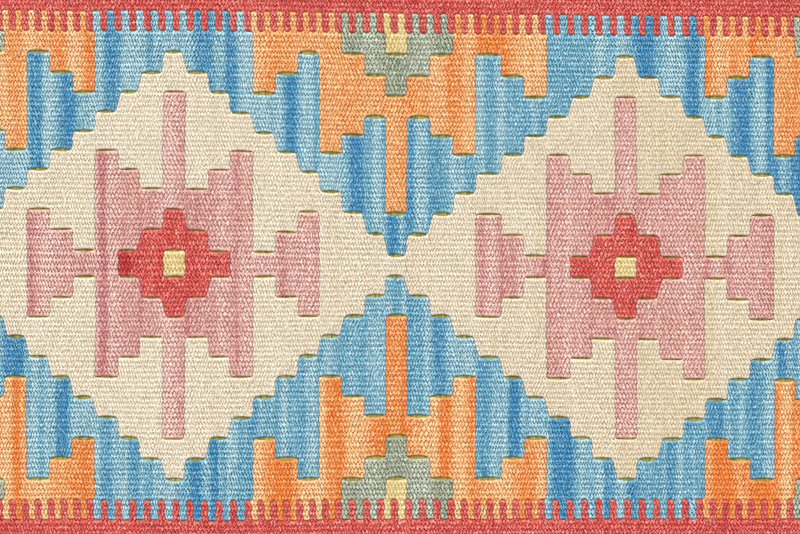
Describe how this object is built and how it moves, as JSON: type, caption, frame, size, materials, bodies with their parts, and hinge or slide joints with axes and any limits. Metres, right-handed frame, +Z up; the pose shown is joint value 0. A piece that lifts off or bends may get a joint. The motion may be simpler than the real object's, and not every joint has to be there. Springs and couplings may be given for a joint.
{
  "type": "kilim rug",
  "caption": "Flat kilim rug in slit tapestry weave, ribbed along its length, with stepped medallions, toothed side borders and plain bands at its ends.",
  "frame": {"origin": "under the middle of the cloth, on the surface that it lies on", "axes": "+X along the warps and the long side, +Y across the warps, +Z up out of the face"},
  "size_m": [0.4932, 0.2936, 0.0026],
  "materials": {
    "cream_wool": "matt undyed cream wool of the medallions",
    "blue_wool": "matt wool dyed in uneven light and deep blues",
    "orange_wool": "matt wool dyed in uneven apricot and orange",
    "rose_wool": "matt wool dyed in uneven rose and mauve",
    "red_wool": "matt coral red wool of the borders, teeth and star centres",
    "sage_wool": "matt grey green wool",
    "straw_wool": "matt pale yellow wool",
    "warp_ground": "olive brown ground that shows only through the slits"
  },
  "bodies": {
    "root": {"kilim_rug": "cream_wool"}
  },
  "joints": []
}
